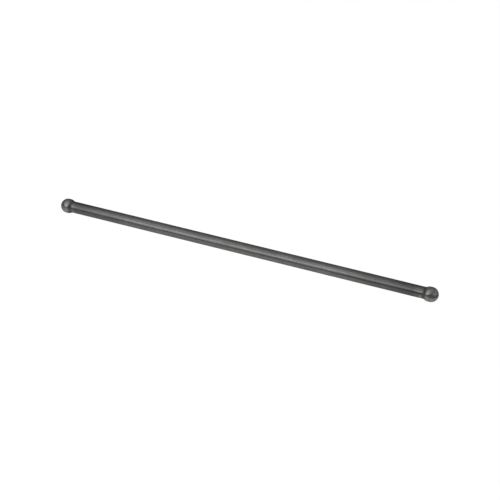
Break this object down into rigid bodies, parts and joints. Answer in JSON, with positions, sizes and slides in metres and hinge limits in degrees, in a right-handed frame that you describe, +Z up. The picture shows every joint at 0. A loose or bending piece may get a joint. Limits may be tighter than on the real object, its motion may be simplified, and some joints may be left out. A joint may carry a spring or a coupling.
{
  "type": "engine pushrod",
  "caption": "Solid steel engine pushrod: a straight round shank with a ball formed on each end, which carries valve lifter motion up to a rocker arm.",
  "frame": {"origin": "on the rod's axis, at half its length", "axes": "X along the rod's axis, +Z up as it lies in the picture; the two ends are alike, and +X is the nearer end"},
  "size_m": [0.2222, 0.008, 0.008],
  "materials": {
    "steel": "dark hardened steel, satin drawn shank and smoother ground balls"
  },
  "bodies": {
    "root": {"pushrod": "steel"}
  },
  "joints": []
}
